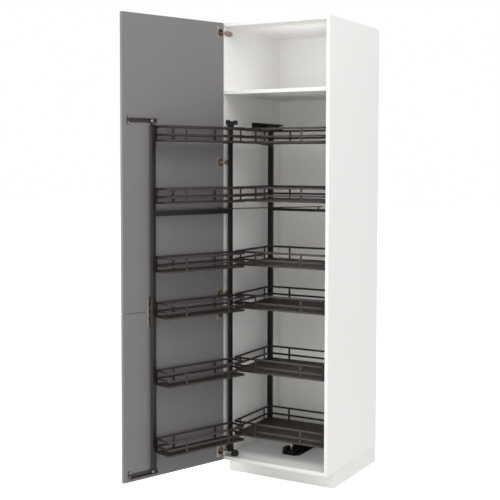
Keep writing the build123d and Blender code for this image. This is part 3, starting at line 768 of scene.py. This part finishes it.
def anodised(name, dark, pale):
    """Anodised extrusion: die lines down the length and a dull satin sheen"""
    material, place = start_material(name)
    die_lines = place.stretched(1.0, 1.0, 0.004).noise(grains=1500.0)
    cloud = place.noise(grains=12.0, detail=3.0)
    return end_material(
        material,
        height=die_lines,
        bump=0.00003,
        edge_round=POST_SHEEN_ROUND,
        sockets={
            "Base Color": die_lines.tint(dark, pale),
            "Specular IOR Level": 0.35,
            "Roughness": 0.28 + cloud * 0.12,
        },
    )


black_anodise = anodised("black_anodise", colour(16, 15, 14), colour(26, 24, 23))
# Painted light: the cover strip's paler tone stands in part for light falling on the outer post's
# front-facing side
cover_anodise_painted_light = anodised("cover_anodise_painted_light", colour(62, 56, 52), colour(74, 68, 64))


def slotted_post(node, body, turn, pivot):
    """An extruded post with a slot down each wide face, wider behind its lips"""
    low, high = turned_box(node, turn, pivot)
    post = block("extruded_" + node, low, high)
    middle = (low + high) / 2
    mouth = (SLOT_WIDTH / 2, -SLOT_LIP)
    chamber = (SLOT_UNDERCUT / 2, SLOT_LIP)
    for face, inwards in ((high.y, -1), (low.y, 1)):
        for half, start in (mouth, chamber):
            first, last = sorted((face + inwards * start, face + inwards * SLOT_DEPTH))
            cutter = block(
                "slot",
                (middle.x - half, first, low.z - SLOT_DEPTH),
                (middle.x + half, last, high.z + SLOT_DEPTH),
            )
            cut_away(post, cutter)
    round_edges(post, POST_EDGE_ROUND, segments=2)
    turn_into_place(post, turn, pivot)
    smooth(post)
    seat(post, black_anodise, body)
    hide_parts(node)


for node in ("front_outer_post", "front_inner_post"):
    slotted_post(node, "front_rack", DOOR_TURN, PIVOT)
for node in ("rear_post_left", "rear_post_right"):
    slotted_post(node, "rear_rack", 0.0, NO_PIVOT)

post_low, post_high = turned_box("front_outer_post", DOOR_TURN, PIVOT)
cover = block(
    "post_cover",
    (post_high.x, post_low.y + COVER_SIDE_GAP, post_low.z + COVER_END_GAP),
    (post_high.x + COVER_THICKNESS, post_high.y - COVER_SIDE_GAP, post_high.z - COVER_END_GAP),
)
round_edges(cover, POST_EDGE_ROUND, segments=2)
turn_into_place(cover, DOOR_TURN, PIVOT)
smooth(cover)
seat(cover, cover_anodise_painted_light, "front_rack")
black_coat = powder_coat("black_coat", colour(16, 15, 14), colour(25, 23, 22), rough=0.34, gloss=0.3)
dress(black_coat, "front_crossbar", "front_pivot_arms", "roller_brackets", "front_tray_brackets")
dress(black_plastic, "pivot_foot", "pivot_bracket")

# Trays: each is a dark melamine panel inside a frame of three bent flat bars, which are welded to
# short upright pickets and powder-coated. The bars are bent round the corners in one piece.
TRAYS = 6
TRAY_EDGE_ROUND = 0.0006
PANEL_THICKNESS = 0.009
BAR_THICKNESS = 0.004
BAR_HEIGHT = 0.010
BAR_MIDDLE_TOP = 0.037
BAR_BEND = 0.007
BAR_EDGE_ROUND = 0.0006
PICKET_WIDTH = 0.010
PICKET_OFFSET = 0.127


def tray_board():
    """Dark melamine: a fine linen emboss over a brown-black print"""
    material, place = start_material("tray_board")
    weft = place.stretched(1.0, 0.08, 1.0).noise(grains=1100.0)
    warp = place.stretched(0.08, 1.0, 1.0).noise(grains=1100.0)
    cloud = place.noise(grains=8.0, detail=3.0)
    linen = weft * 0.5 + warp * 0.5
    tone = linen * 0.7 + cloud * 0.3
    return end_material(
        material,
        height=linen,
        bump=0.00008,
        edge_round=TRAY_EDGE_ROUND,
        sockets={
            "Base Color": tone.tint(colour(46, 40, 37), colour(61, 54, 50)),
            "Roughness": 0.42 + linen * 0.18,
            "Specular IOR Level": 0.2,
        },
    )


dark_board = tray_board()


def bent_bar(name, low, high, bottom, top):
    """One bar of a tray's frame, bent round four corners in one piece"""
    bar = block(name, (low.x, low.y, bottom), (high.x, high.y, top))
    choose(bar, "FACE", lambda face: abs(face.normal.z) > FACING)
    bpy.ops.mesh.delete(type="FACE")
    choose(bar, "EDGE", lambda edge: runs_along(edge, UP))
    bpy.ops.mesh.bevel(offset=BAR_BEND, segments=6)
    add_modifier(bar, "SOLIDIFY", thickness=BAR_THICKNESS, offset=-1.0)
    return bar


def picket(name, x, y, across, bottom, top):
    """A flat picket, welded behind the bars, that runs across the tray or along it"""
    half_x, half_y = PICKET_WIDTH / 2, BAR_THICKNESS / 2
    if not across:
        half_x, half_y = half_y, half_x
    return block(name, (x - half_x, y - half_y, bottom), (x + half_x, y + half_y, top))


def tray_frame(name, low, high, end_offsets):
    """The three bars of a tray and the pickets between them, as one welded frame"""
    levels = (
        (low.z, low.z + PANEL_THICKNESS),
        (low.z + BAR_MIDDLE_TOP - BAR_HEIGHT, low.z + BAR_MIDDLE_TOP),
        (high.z - BAR_HEIGHT, high.z),
    )
    parts = [bent_bar(name, low, high, bottom, top) for bottom, top in levels]
    middle = (low + high) / 2
    inset = BAR_THICKNESS / 2
    upright = (low.z + PANEL_THICKNESS / 2, high.z - BAR_HEIGHT / 2)
    for offset in (-PICKET_OFFSET, PICKET_OFFSET):
        for y in (low.y + inset, high.y - inset):
            parts.append(picket(name, middle.x + offset, y, True, *upright))
    for offset in end_offsets:
        for x in (low.x + inset, high.x - inset):
            parts.append(picket(name, x, middle.y + offset, False, *upright))
    welded = join(parts, name)
    round_edges(welded, BAR_EDGE_ROUND, segments=2)
    return welded


def hang_frame(pattern, rack, number):
    """Copy a rack's frame to the height of one of its trays"""
    rail = f"{rack}_rail_{number}"
    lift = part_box(rail)[0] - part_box(f"{rack}_rail_1")[0]
    welded = moved_copy(pattern, f"{rack}_frame_{number}", lift)
    seat(welded, anthracite, f"{rack}_rack")
    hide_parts(rail)


front_low, front_high = turned_box("front_rail_1", DOOR_TURN, PIVOT)
corner_picket = BAR_THICKNESS + PICKET_WIDTH / 2 - (front_high.y - front_low.y) / 2
front_frame = tray_frame("front_frame", front_low, front_high, (corner_picket,))
turn_into_place(front_frame, DOOR_TURN, PIVOT)
rear_frame = tray_frame("rear_frame", *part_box("rear_rail_1"), (-PICKET_OFFSET, PICKET_OFFSET))
for pattern in (front_frame, rear_frame):
    smooth(pattern)
for number in range(1, TRAYS + 1):
    hang_frame(front_frame, "front", number)
    hang_frame(rear_frame, "rear", number)
    dress(dark_board, f"front_tray_{number}", f"rear_tray_{number}")
for pattern in (front_frame, rear_frame):
    bpy.data.objects.remove(pattern)

# Rear rack: steel crossbars and tapered arms under the trays, in black powder coat. Its carriage, with a
# bright stop pin, runs in a moulded floor runner, which four screws hold and a damper sits on. Its
# slider runs in a moulded guide on the wall, and the drive rod pulls it.
RUNNER_PLATE = 0.003
RUNNER_SCREW_INSET = 0.012
RUNNER_SCREW_FROM_END = 0.045
DAMPER_FROM_SIDE = 0.006
DAMPER_WIDTH = 0.020
DAMPER_FROM_FRONT = 0.018
DAMPER_LENGTH = 0.052
DAMPER_HEIGHT = 0.026
DAMPER_CROWN = 0.005
DAMPER_EDGE_ROUND = 0.001
STOP_PIN_SIDES = 24
STOP_PIN_RADIUS = 0.0028
STOP_PIN_HEIGHT = 0.024
STOP_PIN_ROUND = 0.0008
STOP_PIN_X = -0.008
STOP_PIN_FROM_FRONT = 0.030
STOP_PIN_SEAT = 0.0149
ZINC_ROUGHNESS = 0.2
dress(black_coat, "rear_crossbars", "rear_tray_arms", "rear_carriage", "drive_rod")
dress(black_plastic, "floor_runner", "top_guide", "top_slider")
runner_low, runner_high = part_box("floor_runner")
PLATE_TOP = runner_low.z + RUNNER_PLATE
runner_screws = []
for x in (runner_low.x + RUNNER_SCREW_INSET, runner_high.x - RUNNER_SCREW_INSET):
    for y in (runner_low.y + RUNNER_SCREW_FROM_END, runner_high.y - RUNNER_SCREW_FROM_END):
        runner_screws.append(((x, y, PLATE_TOP), UP))
set_screws("runner_screws", runner_screws, "cabinet")
bpy.data.objects.remove(screw_pattern)

damper_low = Vector((runner_low.x + DAMPER_FROM_SIDE, runner_low.y + DAMPER_FROM_FRONT, PLATE_TOP))
damper_high = damper_low + Vector((DAMPER_WIDTH, DAMPER_LENGTH, DAMPER_HEIGHT))
damper = block("damper", damper_low, damper_high)
choose(
    damper,
    "EDGE",
    lambda edge: runs_along(edge, ACROSS) and edge.verts[0].co.z > damper_high.z - DAMPER_CROWN,
)
bpy.ops.mesh.bevel(offset=DAMPER_CROWN, segments=4)
round_edges(damper, DAMPER_EDGE_ROUND, segments=2)
smooth(damper)
seat(damper, black_plastic, "cabinet")

carriage_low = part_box("rear_carriage")[0]
pin_middle = carriage_low.z + STOP_PIN_SEAT + STOP_PIN_HEIGHT / 2
pin_centre = (STOP_PIN_X, carriage_low.y + STOP_PIN_FROM_FRONT, pin_middle)
stop_pin = round_blank("stop_pin", STOP_PIN_SIDES, STOP_PIN_RADIUS, STOP_PIN_HEIGHT, pin_centre)
choose(stop_pin, "FACE", lambda face: face.normal.z > FACING)
bpy.ops.mesh.bevel(offset=STOP_PIN_ROUND, segments=3)
smooth(stop_pin)
zinc = plated("zinc", colour(225, 224, 220), colour(190, 188, 184), ZINC_ROUGHNESS)
seat(stop_pin, zinc, "rear_rack")

# Floor, light and camera: a white floor that runs on into a white surround, under a large soft lamp
# overhead, a wide one at the front left and a weak one in front. Small fills inside the openings stand
# in for the light that goes to and fro between the white walls. The camera has a long lens.
FLOOR_SPAN = 60.0
FLOOR_ROUGHNESS = 0.9
FLOOR_GLOW = 0.6
AMBIENT = 0.71
BLACK = (0, 0, 0, 1)
WHITE = (1, 1, 1, 1)
deselect_all()
bpy.ops.mesh.primitive_plane_add(size=FLOOR_SPAN)
floor = bpy.context.object
floor.name = "floor"
floor_paint = bpy.data.materials.new("floor_white")
floor_paint.use_nodes = True
floor.data.materials.append(floor_paint)


def sees_backdrop(tree):
    """1 for a ray from the camera, a polished face or glass, and 0 for the light on the object"""
    start = Shade(tree)
    seen = start.node("LightPath", output="Is Camera Ray")
    mirrored = start.node("LightPath", output="Is Glossy Ray")
    passed = start.node("LightPath", output="Is Transmission Ray")
    return start.math("MAXIMUM", seen, start.math("MAXIMUM", mirrored, passed))


floor_tree = floor_paint.node_tree
floor_sockets = floor_tree.nodes["Principled BSDF"].inputs
floor_sockets["Base Color"].default_value = colour(232, 232, 232)
floor_sockets["Roughness"].default_value = FLOOR_ROUGHNESS
floor_sockets["Emission Strength"].default_value = FLOOR_GLOW
glow = sees_backdrop(floor_tree).tint(BLACK, WHITE)
floor_tree.links.new(glow.socket, floor_sockets["Emission Color"])

world = bpy.data.worlds.new("studio")
bpy.context.scene.world = world
world.use_nodes = True
world_sockets = world.node_tree.nodes["Background"].inputs
world_sockets["Color"].default_value = WHITE
strength = AMBIENT + (1 - AMBIENT) * sees_backdrop(world.node_tree)
world.node_tree.links.new(strength.socket, world_sockets["Strength"])

KEY_POWER = 82.0
KEY_WIDTH = 4.4
KEY_HEIGHT = 1.6
KEY_PLACE = (-3.6, -2.9, 1.4)
KEY_AIM = (0.0, -0.2, 1.2)
TOP_POWER = 78.0
TOP_SIZE = 3.0
TOP_PLACE = (1.6, -2.2, 4.6)
TOP_AIM = (0.0, 0.1, 1.3)
FRONT_POWER = 17.0
FRONT_SIZE = 0.9
FRONT_PLACE = (0.9, -5.6, 1.3)
FRONT_AIM = (0.0, 0.0, 1.2)


def soft_lamp(place, aim, width, height, power):
    """A soft rectangular lamp that faces a point"""
    turn = (Vector(aim) - Vector(place)).to_track_quat("-Z", "Y").to_euler()
    bpy.ops.object.light_add(type="AREA", location=place, rotation=turn)
    lamp = bpy.context.object
    lamp.data.shape = "RECTANGLE"
    lamp.data.size = width
    lamp.data.size_y = height
    lamp.data.energy = power
    return lamp


deselect_all()
soft_lamp(KEY_PLACE, KEY_AIM, KEY_WIDTH, KEY_HEIGHT, KEY_POWER)
soft_lamp(TOP_PLACE, TOP_AIM, TOP_SIZE, TOP_SIZE, TOP_POWER)
soft_lamp(FRONT_PLACE, FRONT_AIM, FRONT_SIZE, FRONT_SIZE, FRONT_POWER)

FILL_MARGIN = 0.02
FILL_FROM_LEFT = 0.2
FILL_FROM_RIGHT = 0.08
FILL_LIFT = 0.1
FILL_DROP = 0.05
UPPER_FILL = 0.34
UPPER_SPREAD = 140.0
LOWER_FILL = 1.2
LOWER_SPREAD = 150.0
SIDE_FILL = 0.45
SIDE_FILL_DEPTH = 0.3
SIDE_FILL_FROM_FRONT = 0.16
FLOOR_FILL = 0.1
FULL_SPREAD = 180.0


def fill_lamp(place, direction, width, height, power, spread):
    """A lamp inside an opening, which polished faces don't mirror"""
    lamp = soft_lamp(place, place + direction, width, height, power)
    lamp.data.spread = radians(spread)
    lamp.visible_glossy = False


INWARDS = Vector((0, 1, 0))
shelf_low, shelf_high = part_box("fixed_shelf")
tray_low, tray_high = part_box("rear_tray_1")
upper_span = (shelf_high.z + FILL_LIFT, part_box("top_panel")[0].z - FILL_LIFT)
lower_span = (tray_low.z, shelf_low.z - FILL_DROP)
fill_left = shelf_low.x + FILL_FROM_LEFT
fill_right = shelf_high.x - FILL_FROM_RIGHT
fill_y = FRONT_Y + FILL_MARGIN
for (bottom, top), power, spread in (
    (upper_span, UPPER_FILL, UPPER_SPREAD),
    (lower_span, LOWER_FILL, LOWER_SPREAD),
):
    fill_place = Vector(((fill_left + fill_right) / 2, fill_y, (bottom + top) / 2))
    fill_height = top - bottom - 2 * FILL_MARGIN
    fill_lamp(fill_place, INWARDS, fill_right - fill_left, fill_height, power, spread)
side_y = fill_y + SIDE_FILL_FROM_FRONT + SIDE_FILL_DEPTH / 2
side_place = Vector((shelf_high.x - FILL_MARGIN, side_y, sum(lower_span) / 2))
side_height = lower_span[1] - lower_span[0] - 2 * FILL_MARGIN
fill_lamp(side_place, -ACROSS, SIDE_FILL_DEPTH, side_height, SIDE_FILL, FULL_SPREAD)
tray_size = tray_high - tray_low
under_tray = (tray_low + tray_high) / 2
under_tray.z = tray_low.z - FILL_MARGIN
fill_lamp(under_tray, -UP, tray_size.x, tray_size.y, FLOOR_FILL, FULL_SPREAD)

CAMERA_PLACE = (2.295, -4.320, 1.583)
CAMERA_YAW = 29.84
CAMERA_PITCH = -2.99
CAMERA_ROLL = 0.12
CAMERA_LENS = 71.03
CAMERA_SHIFT_Y = -0.07
camera_turn = Matrix.Rotation(radians(CAMERA_YAW), 3, "Z")
camera_turn = camera_turn @ Matrix.Rotation(radians(90 + CAMERA_PITCH), 3, "X")
camera_turn = camera_turn @ Matrix.Rotation(radians(CAMERA_ROLL), 3, "Z")
bpy.ops.object.camera_add(location=CAMERA_PLACE, rotation=camera_turn.to_euler())
camera = bpy.context.object
camera.data.lens = CAMERA_LENS
camera.data.shift_y = CAMERA_SHIFT_Y
bpy.context.scene.camera = camera
bpy.context.scene.view_settings.view_transform = "Standard"
